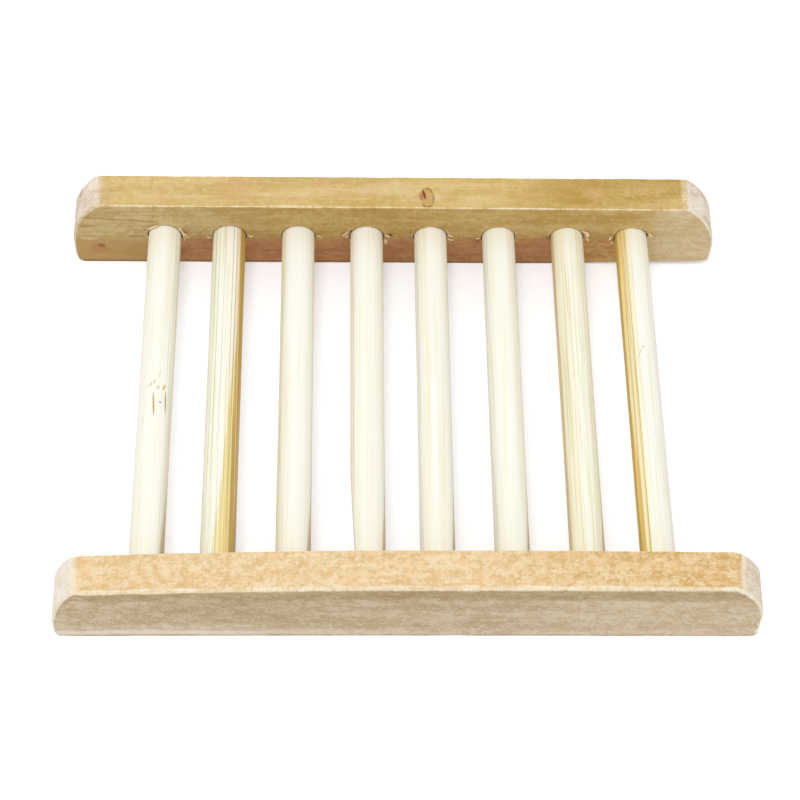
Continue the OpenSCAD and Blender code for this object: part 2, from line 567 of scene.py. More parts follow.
# Shader sheet: sockets as Python values

def paint(red, green, blue):
    """A colour as it looks on screen, from 0 to 255, as the linear colour that a shader takes."""
    srgb = np.array([red, green, blue]) / 255
    linear = np.where(srgb <= 0.04045, srgb / 12.92, ((srgb + 0.055) / 1.055) ** 2.4)
    return (*linear, 1.0)


class Value:
    """An output socket, on which sums and products add Math nodes."""

    def __init__(self, sheet, socket):
        self.sheet = sheet
        self.socket = socket

    def __add__(self, other):
        return self.sheet.math("ADD", self, other)

    __radd__ = __add__

    def __mul__(self, other):
        return self.sheet.math("MULTIPLY", self, other)

    __rmul__ = __mul__

    def __sub__(self, other):
        return self.sheet.math("SUBTRACT", self, other)

    def __rsub__(self, other):
        return self.sheet.math("SUBTRACT", other, self)

    def __truediv__(self, other):
        return self.sheet.math("DIVIDE", self, other)

    def __rtruediv__(self, other):
        return self.sheet.math("DIVIDE", other, self)


class Sheet:
    """The nodes of a material or a world."""

    def __init__(self, owner):
        self.owner = owner
        owner.use_nodes = True
        self.tree = owner.node_tree
        self.tree.nodes.clear()

    def node(self, kind, settings=(), sockets=(), out=0):
        """Adds a node: its settings first, then its sockets' values or links. Returns one output."""
        node = self.tree.nodes.new(kind)
        for key, value in dict(settings).items():
            if key == "stops":
                self.set_stops(node.color_ramp, value)
            else:
                setattr(node, key, value)
        for key, value in dict(sockets).items():
            if isinstance(value, Value):
                self.tree.links.new(value.socket, node.inputs[key])
            else:
                node.inputs[key].default_value = value
        if out is None:
            return [Value(self, output) for output in node.outputs]
        return Value(self, node.outputs[out])

    @staticmethod
    def set_stops(ramp, stops):
        """Gives a colour ramp its stops: (place, colour) pairs."""
        while len(ramp.elements) < len(stops):
            ramp.elements.new(0.5)
        for element, (place, colour) in zip(ramp.elements, stops):
            element.position = place
            element.color = colour

    def math(self, operation, a, b=0.0):
        return self.node("ShaderNodeMath", {"operation": operation}, {0: a, 1: b})

    def most(self, a, b):
        return self.math("MAXIMUM", a, b)

    def mix(self, share, a, b):
        """Colour a turning into colour b as share goes from 0 to 1."""
        return self.node("ShaderNodeMix", {"data_type": "RGBA"}, {0: share, 6: a, 7: b}, 2)

    def ramp(self, value, *stops):
        return self.node("ShaderNodeValToRGB", {"stops": stops}, {0: value})

    def step(self, value, low, high):
        """A smooth rise from 0 at low to 1 at high. A fall has the larger number first."""
        rise = self.node("ShaderNodeMapRange", {"interpolation_type": "SMOOTHSTEP"},
                         {0: value, 1: min(low, high), 2: max(low, high), 3: 0.0, 4: 1.0})
        return rise if low < high else 1 - rise

    def attribute(self, name):
        return self.node("ShaderNodeAttribute", {"attribute_name": name}, out=2)

    def places(self):
        """Object coordinates in millimetres."""
        coordinates = self.node("ShaderNodeTexCoord", out=3)
        return self.node("ShaderNodeVectorMath", {"operation": "SCALE"}, {0: coordinates, 3: 1 / MM})

    def axes(self, places):
        """The three coordinates of a vector."""
        return self.node("ShaderNodeSeparateXYZ", {}, {0: places}, None)

    def noise(self, places, scale, shift, detail, rough=0.5):
        """Noise with scale lumps to a millimetre along each axis."""
        spread = self.node(
            "ShaderNodeVectorMath", {"operation": "MULTIPLY_ADD"}, {0: places, 1: scale, 2: shift})
        return self.node("ShaderNodeTexNoise", {}, {
            "Vector": spread, "Scale": 1.0, "Detail": detail, "Roughness": rough})

    def lines(self, level, detail):
        """Noise along one value: the lines on which that value is level."""
        return self.node("ShaderNodeTexNoise", {"noise_dimensions": "1D"}, {
            "W": level, "Scale": 1.0, "Detail": detail})

    def spot(self, u, v, centre, size, soft):
        """1 inside an ellipse of half sizes size round centre, fading to 0 at its edge."""
        du = (u - centre[0]) / size[0]
        dv = (v - centre[1]) / size[1]
        return self.step(du * du + dv * dv, 1.0, 1.0 - soft)

    def band(self, value, centre, half, soft):
        """1 within half of centre, fading to 0 over the last part soft."""
        return self.step(self.math("ABSOLUTE", value - centre), half, half - soft)

    def finish(self, colour, rough, height, bump, specular):
        """The surface. bump is the strength of the height, from 0 to 1, and its distance in millimetres."""
        strength, distance = bump
        normal = self.node("ShaderNodeBump", {}, {
            "Strength": strength, "Distance": distance * MM, "Height": height})
        shader = self.node("ShaderNodeBsdfPrincipled", {}, {
            "Base Color": colour, "Roughness": rough, "Specular IOR Level": specular, "Normal": normal})
        self.node("ShaderNodeOutputMaterial", {}, {"Surface": shader}, None)
        return self.owner


# Rail wood

# The grains of a rail's tone: noise scale to the millimetre, detail, roughness, and usual spread
GRAINS = {
    "streaks": ((0.07, 2.2, 2.2), 3, 0.6, 0.071),
    "fibres": ((0.5, 7.5, 7.5), 2, 0.5, 0.082),
    "cloud": ((0.05, 0.3, 0.3), 2, 0.5, 0.082),
    "speckle": ((0.55, 0.7, 0.7), 4, 1.0, 0.043),
}
# Growth rings: their drift's scale and size, their slope in y and z, how close they lie, their spread
DRIFT_SCALE = (0.018, 0.11, 0.13)
DRIFT = 7.0
GROWTH_Y = 0.55
GROWTH_Z = 0.75
GROWTH_RATE = 1.1
GROWTH_SPREAD = 0.098
# Places of a palette's dark, middle and light colour on its ramp, and the tone's usual spread
TONE_PLACES = (0.2375, 0.5, 0.7625)
TONE_SPREAD = 0.15
# Worn wood's share, how whole it stays on end grain, and the speckle that breaks it up elsewhere
WORN_SHARE = 0.9
WORN_END_SHARE = 0.85
WORN_SPECKLE = (0.26, 0.44)
# Painted shade in the sockets and in the line over their rims: its share and colour
SOCKET_SHADE_SHARE = 0.6
SOCKET_SHADE_TINT = (120, 84, 52)
# Roughness at least, and what the speckle adds
WOOD_ROUGH = (0.5, 0.35)
WOOD_RELIEF = {"streaks": 0.3, "fibres": 0.2, "speckle": 0.5}
WOOD_BUMP = (0.35, 0.25)
WOOD_SPECULAR = 0.3
# The ends' own marks come in over this stretch from the middle
END_ZONE = (50, 52)


def blend_tone(grains, shares):
    """A tone about 0.5, from grains of (noise, spread) in the given shares.

    Each noise less a half is divided by its spread and weighed by its share. The sum of these is
    brought to the usual spread of a tone.
    """
    size = math.sqrt(sum(share * share for share in shares.values()))
    weights = {name: TONE_SPREAD * share / size / grains[name][1] for name, share in shares.items()}
    middle = 0.5 - 0.5 * sum(weights.values())
    return sum((grains[name][0] * weight for name, weight in weights.items()), middle)


def palette(sheet, tone, colours, places=TONE_PLACES):
    """The colour of a tone on a ramp that has the colours at the given places."""
    return sheet.ramp(tone, *[(place, paint(*colour)) for place, colour in zip(places, colours)])


def rail_wood(name, seed, looks, marks):
    """Bare sawn wood with its grain along X.

    looks gives each zone of the rail the shares of each grain in its tone, and its palettes: from
    which x and over what length each comes in, and its dark, middle and light colour. marks then
    adds what this rail alone has.
    """
    sheet = Sheet(bpy.data.materials.new(name))
    p = sheet.places()
    x, y, z = sheet.axes(p)
    shift = (seed, seed * 2.0, seed * 3.0)
    drift = sheet.noise(p, DRIFT_SCALE, shift, 2)
    level = y * GROWTH_Y + z * GROWTH_Z + drift * DRIFT + seed
    grains = {"growth": (sheet.lines(level * GROWTH_RATE, 2), GROWTH_SPREAD)}
    for grain, (scale, detail, rough, spread) in GRAINS.items():
        grains[grain] = (sheet.noise(p, scale, shift, detail, rough), spread)
    zones = {}
    tones = {}
    for zone, (shares, palettes) in looks.items():
        tones[zone] = blend_tone(grains, shares)
        for place, length, colours in palettes:
            colour = palette(sheet, tones[zone], colours)
            if zone in zones:
                here = sheet.step(x, place - length / 2, place + length / 2)
                colour = sheet.mix(here, zones[zone], colour)
            zones[zone] = colour
    marks(sheet, p, zones, tones, grains)
    colour = sheet.mix(sheet.attribute("inner_face"), zones["top"], zones["inner"])
    colour = sheet.mix(sheet.attribute("outer_face"), colour, zones["outer"])
    colour = sheet.mix(sheet.attribute("end_grain"), colour, zones["end"])
    speckle = grains["speckle"][0]
    whole = sheet.most(sheet.step(speckle, *WORN_SPECKLE), sheet.attribute("end_grain") * WORN_END_SHARE)
    colour = sheet.mix(sheet.attribute("worn") * whole * WORN_SHARE, colour, zones["worn"])
    # Painted shade in the sockets and along their rims
    colour = sheet.mix(sheet.attribute("socket") * SOCKET_SHADE_SHARE, colour, paint(*SOCKET_SHADE_TINT))
    rough = WOOD_ROUGH[0] + speckle * WOOD_ROUGH[1]
    height = sum(grains[grain][0] * share for grain, share in WOOD_RELIEF.items())
    return sheet.finish(colour, rough, height, WOOD_BUMP, WOOD_SPECULAR)


def stainer(sheet, zones):
    """A brush that lays a colour over a zone in a given share."""
    def stain(zone, share, *colour):
        zones[zone] = sheet.mix(share, zones[zone], paint(*colour))
    return stain


# Oval spots: place, half sizes, softness, sway of both, share and colour. A place is x and y on the
# top, x and z on the inner face, y and z on the ends.
TOP_SPOTS = [
    ((-2.0, 39.4), (7.5, 2.2), 0.95, (8, 3), 0.5, (232, 206, 160)),
    ((9.4, 37.2), (3.0, 0.8), 1.0, (3, 0), 0.4, (196, 150, 78)),
    ((6.9, 37.9), (0.7, 1.1), 0.8, (0, 1), 0.6, (230, 204, 166)),
    ((8.2, 39.6), (1.3, 0.45), 0.8, (0, 1), 0.5, (230, 200, 164)),
    ((-38.5, 41.2), (0.4, 0.3), 0.9, (0, 0), 0.45, (246, 228, 192)),
    ((-35.4, 39.0), (0.4, 0.3), 0.9, (0, 0), 0.45, (246, 228, 192)),
    ((-26.4, 41.0), (0.4, 0.3), 0.9, (0, 0), 0.45, (246, 228, 192)),
]
LEFT_END_SPOTS = [
    ((41.0, 13.2), (1.0, 0.9), 0.9, (1, 0), 0.6, (176, 156, 146)),
    ((38.6, 11.2), (1.8, 2.2), 1.0, (3, 0), 0.4, (214, 198, 186)),
]
INNER_SPOTS = [
    ((-57.4, 10.9), (3.2, 0.45), 0.8, (0, 0.6), 0.5, (166, 124, 68)),
    ((-56.8, 7.2), (2.2, 0.5), 0.8, (0, 0.6), 0.5, (234, 212, 172)),
    ((-55.4, 4.2), (2.2, 1.9), 1.0, (3, 1), 0.45, (184, 116, 70)),
    ((-54.8, 5.0), (0.9, 0.6), 0.9, (0, 1), 0.65, (134, 72, 40)),
]
# Dark spots by the sockets: x, z, half width, half height, share
SOCKET_DARK_SPOTS = [
    (-48.2, 7.85, 1.7, 0.24, 0.45), (-46.3, 9.9, 0.5, 0.35, 0.6), (-39.6, 9.3, 0.3, 0.5, 0.5),
    (-8.8, 9.8, 0.5, 0.5, 0.85), (-1.3, 8.8, 0.5, 0.32, 0.9), (2.2, 9.6, 0.25, 0.6, 0.4),
    (7.7, 11.1, 0.7, 0.2, 0.6), (14.9, 7.3, 0.35, 0.5, 0.6), (27.7, 8.2, 0.35, 0.7, 0.6),
    (39.5, 7.4, 0.3, 0.6, 0.5), (46.4, 9.1, 0.4, 0.3, 0.6), (33.9, 9.6, 0.3, 0.4, 0.4),
]
DARK_SPOT_TINT = (104, 66, 40)
# The knot's place and half sizes, and its ring: direction, half width and fade in degrees, share, colour
KNOT = (5.05, 37.45)
KNOT_SIZE = (1.2, 2.25)
KNOT_RING = [
    (66, 52, 26, 0.7, (158, 102, 52)),
    (-8, 36, 20, 0.7, (136, 106, 56)),
    (-95, 58, 30, 0.85, (160, 96, 54)),
]
# Painted shade of the dowels on redder wood, low between them: its upper edge at a dowel, and its rise up
# to the next one
SHADE_BAND_EDGE = 6.3
SHADE_BAND_RISE = 2.6
BROWN_SHADE_BAND = ((177, 122, 80), (192, 137, 93), (205, 151, 104))
TAN_SHADE_BAND = ((187, 137, 79), (206, 159, 101), (224, 180, 123))


def lay_spots(sheet, stain, zone, u, v, sway, spots, share_all=1.0):
    """Lays a list of oval spots over a zone. Their edges sway with the noise sway."""
    for place, size, soft, (sway_u, sway_v), share, colour in spots:
        mask = sheet.spot(u + sway * sway_u, v + sway * sway_v, place, size, soft)
        stain(zone, mask * (share_all * share), *colour)


def back_marks(sheet, p, zones, tones, grains):
    """The back rail: a small knot on top, honey and cream patches, painted shade of the dowels on redder
    wood low between them.
    """
    stain = stainer(sheet, zones)
    x, y, z = sheet.axes(p)
    sway = sheet.noise(p, (0.5, 0.7, 0.7), (4, 9, 2), 2) - 0.5
    tint = sheet.noise(p, (0.12, 0.3, 0.3), (17, 3, 8), 2)
    stain("top", sheet.step(tint, 0.53, 0.68) * 0.35, 222, 176, 126)
    stain("top", sheet.step(tint, 0.47, 0.33) * 0.3, 206, 184, 100)
    back_edge = sheet.step(y + sway * 2, 38.4, 40.8) * sheet.step(x, 18, 28) * sheet.step(x, 58, 50)
    stain("top", back_edge * 0.45, 186, 148, 78)
    lay_spots(sheet, stain, "top", x, y, sway, TOP_SPOTS)

    # Knot: a thin dark outline round orange wood, with a red slit left of its middle
    du = (x - KNOT[0] + sway * 0.5) / KNOT_SIZE[0]
    dv = (y - KNOT[1] + sway * 0.4) / KNOT_SIZE[1]
    around = sheet.math("SQRT", du * du + dv * dv)
    bearing = sheet.math("ARCTAN2", dv, du) * math.degrees(1)
    stain("top", sheet.step(around, 1.15, 0.7) * 0.6, 198, 154, 82)
    ring = sheet.step(around, 0.72, 0.95) * sheet.step(around, 1.2, 0.98)
    for direction, half, fade, share, colour in KNOT_RING:
        stain("top", ring * sheet.band(bearing, direction, half, fade) * share, *colour)
    stain("top", sheet.spot(x + sway * 0.6, y, (4.05, 38.0), (0.6, 1.5), 0.9) * 0.7, 176, 108, 70)
    slit = sheet.spot(x + (y - 38.3) * 0.19, y, (4.52, 38.35), (0.34, 1.5), 0.8)
    stain("top", slit * 0.9, 122, 54, 24)

    # Inner face: painted shade of the dowels on redder wood, low down, rising to the right between them
    first, last = dowel_places[0][0], dowel_places[-1][0]
    pitch = (last - first) / (len(DOWELS) - 1)
    along = sheet.math("FRACT", (x - first) / pitch)
    border = SHADE_BAND_EDGE + along * SHADE_BAND_RISE + sway * 1.8 + (grains["streaks"][0] - 0.5) * 6
    between = sheet.step(x, first, first + 3) * sheet.step(x, last, last - 3)
    low = sheet.step(z - border, 1.2, -1.2)
    brown, tan = [palette(sheet, tones["inner"], colours) for colours in (BROWN_SHADE_BAND, TAN_SHADE_BAND)]
    brown = sheet.mix(sheet.step(x, last - pitch - 2, last - pitch + 2), brown, tan)
    zones["inner"] = sheet.mix(low * between, zones["inner"], brown)

    # Ends, and the inner face left of the dowels
    left_end = sheet.step(x, -END_ZONE[0], -END_ZONE[1])
    lay_spots(sheet, stain, "end", y, z, sway, LEFT_END_SPOTS, left_end)
    scratch = sheet.band(y + z * 0.9, 50.4, 0.35, 0.3) * sheet.spot(y, z, (36.9, 15.0), (1.4, 2.0), 0.6)
    stain("end", scratch * sheet.step(x, *END_ZONE) * 0.8, 255, 250, 236)
    left = sheet.step(x, first, first - 2)
    stain("inner", sheet.step(z + sway * 2.5, 9.0, 5.2) * left * 0.7, 190, 146, 82)
    stain("inner", sheet.band(z + x * 0.1 + sway * 0.6, 7.75, 0.42, 0.3) * left * 0.55, 160, 118, 64)
    lay_spots(sheet, stain, "inner", x, z, sway, INNER_SPOTS)
    # Painted shade along the foot of the inner face
    stain("inner", sheet.step(z, 0.9, 0.3) * 0.7, 112, 84, 70)
    # Dark spots by the sockets
    lay_spots(sheet, stain, "inner", x, z, sway, [
        ((place_x, place_z), (half_w, half_h), 0.6, (1, 0.6), share, DARK_SPOT_TINT)
        for place_x, place_z, half_w, half_h, share in SOCKET_DARK_SPOTS])


# How much lower the brown strip lies at the left end, where the top is planed down
STRIP_FALL = 1.75
DARK_STRIP = ((179, 153, 109), (192, 168, 127), (205, 184, 145))
PALE_BASE = ((216, 194, 167), (231, 213, 187), (241, 226, 204))
HAIR_SLANT = math.radians(-24)


def front_marks(sheet, p, zones, tones, grains):
    """The front rail: a brown strip under the front arris, a pale base and short hairs between them."""
    stain = stainer(sheet, zones)
    x, y, z = sheet.axes(p)
    sway = sheet.noise(p, (0.12, 0.5, 0.5), (4, 9, 2), 2) - 0.5
    strip, base = [palette(sheet, tones["outer"], colours) for colours in (DARK_STRIP, PALE_BASE)]
    blush = sheet.noise(p, (0.3, 0.6, 0.6), (31, 6, 2), 3)
    stain("top", sheet.step(blush, 0.47, 0.65) * 0.4, 244, 200, 148)
    left_end = sheet.step(x, -END_ZONE[0], -END_ZONE[1])
    stain("end", sheet.step(z, 12.5, 16) * left_end * 0.35, 228, 208, 192)
    left_share = sheet.most(x * (-2 / rail_l), 0.0)
    below = rail_h - STRIP_FALL * sheet.math("POWER", left_share, FALL_POWER) - z
    strip_low = 3.4 + sway * 5 + sheet.step(x, -40, 10) * 0.8
    dim = sheet.spot(x + sway * 20, z + sway * 4, (-27, 10.5), (19, 5.5), 1.0) * 0.55
    for share in (sheet.step(below - strip_low, 0.8, -0.8), dim):
        zones["outer"] = sheet.mix(share, zones["outer"], strip)
    base_high = 2.6 + sway * 3 + sheet.step(x, 0, -40) * 1.6
    zones["outer"] = sheet.mix(sheet.step(z - base_high, 1.0, -1.0) * 0.9, zones["outer"], base)
    pale_line = sheet.band(z + sway * 1.5, 1.3, 1.2, 0.9) * sheet.step(x, 0, -35)
    stain("outer", pale_line * 0.7, 255, 248, 234)
    slant = sheet.node(
        "ShaderNodeVectorRotate", {"rotation_type": "Y_AXIS"}, {"Vector": p, "Angle": HAIR_SLANT})
    hairs = sheet.noise(slant, (0.55, 2.0, 5.0), (2, 5, 1), 1)
    stain("outer", sheet.step(hairs, 0.62, 0.7) * 0.55, 242, 226, 196)
    stain("outer", sheet.step(hairs, 0.36, 0.28) * 0.45, 178, 152, 112)
    # Painted shade along the foot of the outer face
    stain("outer", sheet.step(z, 0.7, 0.2) * 0.6, 146, 126, 108)


# Shares of the grains in each zone's tone, and palettes: (x, length, (dark, middle, light))
BACK_LOOKS = {
    "top": ({"cloud": 4.0, "streaks": 1.6, "speckle": 2.8}, [
        (0, 0, ((205, 172, 104), (217, 186, 122), (228, 200, 145))),
        (-15, 30, ((202, 169, 96), (214, 182, 113), (226, 197, 138))),
        (28, 14, ((186, 147, 66), (202, 169, 97), (216, 186, 123)))]),
    "inner": ({"growth": 0.7, "cloud": 2.2, "streaks": 1.1, "speckle": 2.8}, [
        (0, 0, ((193, 162, 105), (205, 180, 127), (216, 192, 144))),
        (-30, 20, ((188, 151, 85), (199, 166, 100), (210, 180, 118))),
        (12, 30, ((194, 158, 91), (206, 175, 110), (216, 189, 129))),
        (47, 8, ((216, 190, 141), (225, 203, 161), (232, 215, 178)))]),
    "outer": ({"cloud": 3.0, "streaks": 2.0, "fibres": 1.5, "speckle": 1.5}, [
        (0, 0, ((206, 174, 120), (224, 194, 140), (238, 212, 166)))]),
    "end": ({"cloud": 1.6, "streaks": 1.0, "speckle": 1.0}, [
        (0, 0, ((219, 201, 180), (239, 222, 199), (249, 238, 221))),
        (0, 10, ((217, 199, 179), (238, 221, 200), (246, 234, 220)))]),
    "worn": ({"streaks": 1.0, "speckle": 2.0}, [
        (0, 0, ((206, 180, 136), (220, 196, 154), (234, 214, 180))),
        (-52, 3, ((232, 200, 144), (248, 226, 182), (254, 242, 214))),
        (52, 3, ((250, 230, 196), (255, 243, 220), (255, 251, 238)))]),
}
FRONT_LOOKS = {
    "top": ({"cloud": 1.6, "streaks": 0.6, "fibres": 0.3, "speckle": 3.4}, [
        (0, 0, ((222, 187, 131), (236, 206, 159), (245, 223, 184))),
        (28, 40, ((210, 168, 102), (227, 193, 138), (242, 215, 171)))]),
    "inner": ({"growth": 2.0, "cloud": 2.0, "streaks": 2.0, "speckle": 1.5}, [
        (0, 0, ((200, 166, 112), (222, 192, 138), (238, 212, 164)))]),
    "outer": ({"cloud": 1.7, "streaks": 0.6, "fibres": 0.2, "speckle": 3.4}, [
        (0, 0, ((195, 172, 134), (212, 191, 158), (227, 209, 183))),
        (25, 30, ((207, 185, 146), (223, 204, 172), (235, 219, 194)))]),
    "end": ({"cloud": 0.8, "streaks": 1.0, "speckle": 1.2}, [
        (0, 0, ((242, 230, 212), (251, 241, 225), (254, 248, 236))),
        (0, 10, ((217, 199, 174), (236, 217, 192), (246, 234, 215)))]),
    "worn": ({"streaks": 1.0, "speckle": 2.0}, [
        (0, 0, ((244, 228, 200), (251, 238, 215), (255, 247, 230))),
        (-53, 3, ((236, 214, 174), (246, 228, 194), (253, 243, 218))),
        (52, 3, ((252, 236, 206), (255, 246, 222), (255, 252, 236)))]),
}


# Bamboo

# Its fibres: noise scale to the millimetre, detail and roughness
FIBRES = {
    "broad": ((0.7, 0.012, 0.7), 2, 0.5),
    "lines": ((3.3, 0.018, 3.3), 3, 0.65),
    "hairs": ((6.0, 0.05, 6.0), 2, 0.5),
}
# Colours of the wood and of its fibre lines, and their places on the broad noise
PALE = ((254, 250, 232), (255, 254, 245), (253, 254, 238))
PALE_PLACES = (0.36, 0.5, 0.64)
STREAK = ((235, 219, 150), (236, 240, 172))
STREAK_PLACES = (0.42, 0.56)
# A stripe's shades of its colour, and their places on the fibres' tone
SHADES = (0.9, 1.0, 1.08)
SHADE_PLACES = (0.42, 0.5, 0.6)
# Tones at which a fibre line begins and is whole
FIBRE_TONES = (0.47, 0.41)
# The sides' colour, a warm tint painted on them so that their shade looks warm, and the degrees from the
# top over which it comes in
SIDE_SHADE_TINT = (255, 253, 240)
SIDE_SHADE_DEGREES = (18, 60)
# How far the fibres fray a stripe's edges, and between which half widths it fades
STRIPE_FRAY = 1.6
STRIPE_FADE = (1.1, 0.75)
# Brown painted shade of the front rail, low on the right side near the front: colour, share, the y over
# which it comes in, where it begins and ends in degrees from the top, and how much higher it begins at the
# front
FRONT_SHADE_TINT = (184, 152, 98)
FRONT_SHADE_SHARE = 0.75
FRONT_SHADE_Y = (-8, -35)
FRONT_SHADE_FROM = (80, 92)
FRONT_SHADE_TO = (130, 110)
FRONT_SHADE_RISE = 34
BAMBOO_BUMP = (0.25, 0.12)
BAMBOO_SPECULAR = 0.4
# Per dowel: share of fibre lines, then stripes of (direction from the top in degrees, half width,
# colour, strength). Direction is negative to the left; a pair is the value at the back and the front.
# The wide, near-white warm stripes 64 degrees or more from the top are tints painted for the shade on the
# sides; the golden and brown stripes are the bamboo's skin
DOWEL_LOOKS = [
    (0.3, [(72, 30, (255, 253, 234), 0.8), (84, 14, (254, 243, 216), 0.9)]),
    (0.8, [((74, 30), (2, 46), (247, 226, 150), 0.85), ((84, 76), 24, (208, 172, 88), 0.9),
           ((62, 50), (20, 10), (200, 162, 72), 0.95), ((43, 64), (2.5, 3), (250, 228, 198), 0.7),
           ((40, 22), (2, 4), (236, 206, 120), 0.8), ((50, 4), (1, 4), (244, 224, 150), 0.7),
           (-47, (2.2, 0.4), (230, 220, 150), 0.8), (-30, (1.8, 0.4), (200, 186, 122), 0.8),
           (-9, (1.6, 0.3), (212, 196, 184), 0.7), (20, (2.0, 0.3), (198, 180, 118), 0.8),
           (33, (1.6, 0.3), (176, 150, 120), 0.8), (-80, 26, (255, 252, 226), 0.8)]),
    (0.25, [(-70, 26, (255, 249, 216), 0.9), (84, 14, (255, 240, 206), 0.9)]),
    (0.4, [(-78, (28, 22), (254, 246, 222), 0.9), (84, 14, (255, 243, 208), 0.9)]),
    (0.35, [(-78, 26, (255, 252, 234), 0.9), (84, 14, (255, 245, 214), 0.9)]),
    (0.3, [(-76, 30, (255, 251, 230), 0.9), (84, 14, (255, 246, 216), 0.9)]),
    (0.9, [(-42, 26, (254, 245, 206), 0.7), (-82, 22, (226, 200, 146), 0.9),
           (66, 40, (255, 250, 222), 0.7), (84, 14, (253, 240, 206), 0.8)]),
    (0.5, [((-46, -48), 22, (254, 234, 184), 0.9), ((-56, -90), (24, 2), (247, 213, 140), 0.85),
           ((-88, -58), (2, 20), (238, 200, 108), 0.9), (-86, 24, (212, 176, 80), 0.95),
           (-48, 3, (240, 202, 120), 0.6), (-26, 1.8, (252, 236, 140), 0.8),
           (-30, 1.3, (190, 158, 66), 0.9), (64, 40, (255, 252, 236), 0.6)]),
]
# Small marks on the dowels' tops, by dowel: x, y, half width, half length, lean of x with y, colour, share
DOWEL_MARKS = {
    1: [(-42.88, -3.2, 0.19, 3.0, -0.06, (202, 162, 52), 0.95),
        (-40.92, -2.5, 0.14, 2.7, -0.03, (170, 148, 46), 0.9),
        (-41.78, -2.72, 0.26, 0.22, 0.0, (118, 96, 92), 0.8),
        (-43.49, 0.9, 0.16, 0.5, 0.2, (214, 180, 84), 0.8),
        (-42.91, 1.42, 0.16, 0.6, 0.0, (184, 176, 110), 0.7),
        (-42.24, 0.33, 0.18, 0.55, 0.2, (180, 158, 96), 0.7),
        (-41.27, 0.47, 0.2, 0.8, 0.2, (210, 172, 70), 0.9),
        (-44.09, 0.68, 0.18, 0.5, 0.0, (232, 206, 200), 0.6),
        (-42.06, 3.1, 0.12, 1.0, 0.1, (214, 216, 170), 0.7),
        (-44.68, -6.3, 0.14, 0.9, 0.0, (218, 222, 190), 0.7)],
    8: [(42.27, 7.6, 0.09, 1.7, 0.45, (190, 180, 160), 0.7),
        (42.95, 9.13, 0.16, 0.25, 0.0, (186, 150, 90), 0.8),
        (40.6, 16.0, 0.14, 0.8, 0.0, (222, 200, 120), 0.7)],
}


def dowel_bamboo(number, lines_share, stripes):
    """Near-white bamboo with thin fibre lines along Y and skin-coloured stripes down its sides, with warm
    tints and brown shade painted on its sides.
    """
    sheet = Sheet(bpy.data.materials.new(f"dowel_{number}_bamboo"))
    p = sheet.places()
    x, y, z = sheet.axes(p)
    shift = (number * 13.7, number * 0.9, number * 7.3)
    broad, lines, hairs = [sheet.noise(p, scale, shift, *form) for scale, *form in FIBRES.values()]
    tone = lines * 0.6 + hairs * 0.4
    pale = palette(sheet, broad, PALE, PALE_PLACES)
    streak = palette(sheet, broad, STREAK, STREAK_PLACES)
    round_angle = sheet.math("ARCTAN2", x - dowel_places[number - 1][0], z - dowel_axis_h) * math.degrees(1)
    # Painted warm tint on the sides, where the round turns from the light into shade
    to_side = sheet.step(sheet.math("ABSOLUTE", round_angle), *SIDE_SHADE_DEGREES)
    pale = sheet.mix(to_side, pale, paint(*SIDE_SHADE_TINT))
    colour = sheet.mix(sheet.step(tone, *FIBRE_TONES) * lines_share, pale, streak)
    back_share = (y + rail_span / 2) / rail_span
    for direction, half_width, tint, strength in stripes:
        back, front = np.broadcast_to(direction, 2).tolist()
        back_half, front_half = np.broadcast_to(half_width, 2).tolist()
        middle = front + back_share * (back - front)
        half = front_half + back_share * (back_half - front_half)
        gap = sheet.math("ABSOLUTE", round_angle - middle) / half
        stripe = sheet.step(gap + (tone - 0.5) * STRIPE_FRAY, *STRIPE_FADE) * strength
        shades = [[min(255, c * light) for c in tint] for light in SHADES]
        colour = sheet.mix(stripe, colour, palette(sheet, tone, shades, SHADE_PLACES))
    if number < len(DOWELS):
        # Painted shade of the front rail, low on each dowel's right side near it
        near = sheet.step(y, *FRONT_SHADE_Y)
        begun = sheet.step(round_angle + near * FRONT_SHADE_RISE, *FRONT_SHADE_FROM)
        edge = begun * sheet.step(round_angle, *FRONT_SHADE_TO) * near
        colour = sheet.mix(edge * FRONT_SHADE_SHARE, colour, paint(*FRONT_SHADE_TINT))
    upper = sheet.step(z, dowel_axis_h, dowel_axis_h + 1)
    for place_x, place_y, half_w, half_l, lean, tint, share in DOWEL_MARKS.get(number, []):
        mark = sheet.spot(x - (y - place_y) * lean, y, (place_x, place_y), (half_w, half_l), 0.7)
        colour = sheet.mix(mark * upper * share, colour, paint(*tint))
    height = lines * 0.5 + hairs * 0.5
    return sheet.finish(colour, 0.5 + lines * 0.15, height, BAMBOO_BUMP, BAMBOO_SPECULAR)


# Pieces

# Bites out of the back rail's socket rims, by dowel number: (direction, half width, depth)
BACK_TEARS = {
    1: [(152, 34, 0.5), (8, 22, 0.35)],
    2: [(186, 14, 0.25), (2, 16, 0.25), (60, 20, 0.08)],
    3: [(160, 30, 0.14), (4, 12, 0.2)],
    4: [(150, 16, 0.55), (20, 12, 0.4), (-8, 10, 0.3)],
    5: [(22, 16, 0.35), (172, 10, 0.15)],
    6: [(190, 12, 0.3), (14, 10, 0.15)],
    7: [(172, 16, 0.4), (18, 14, 0.3)],
    8: [(186, 12, 0.35), (150, 26, 0.15), (22, 18, 0.45)],
}
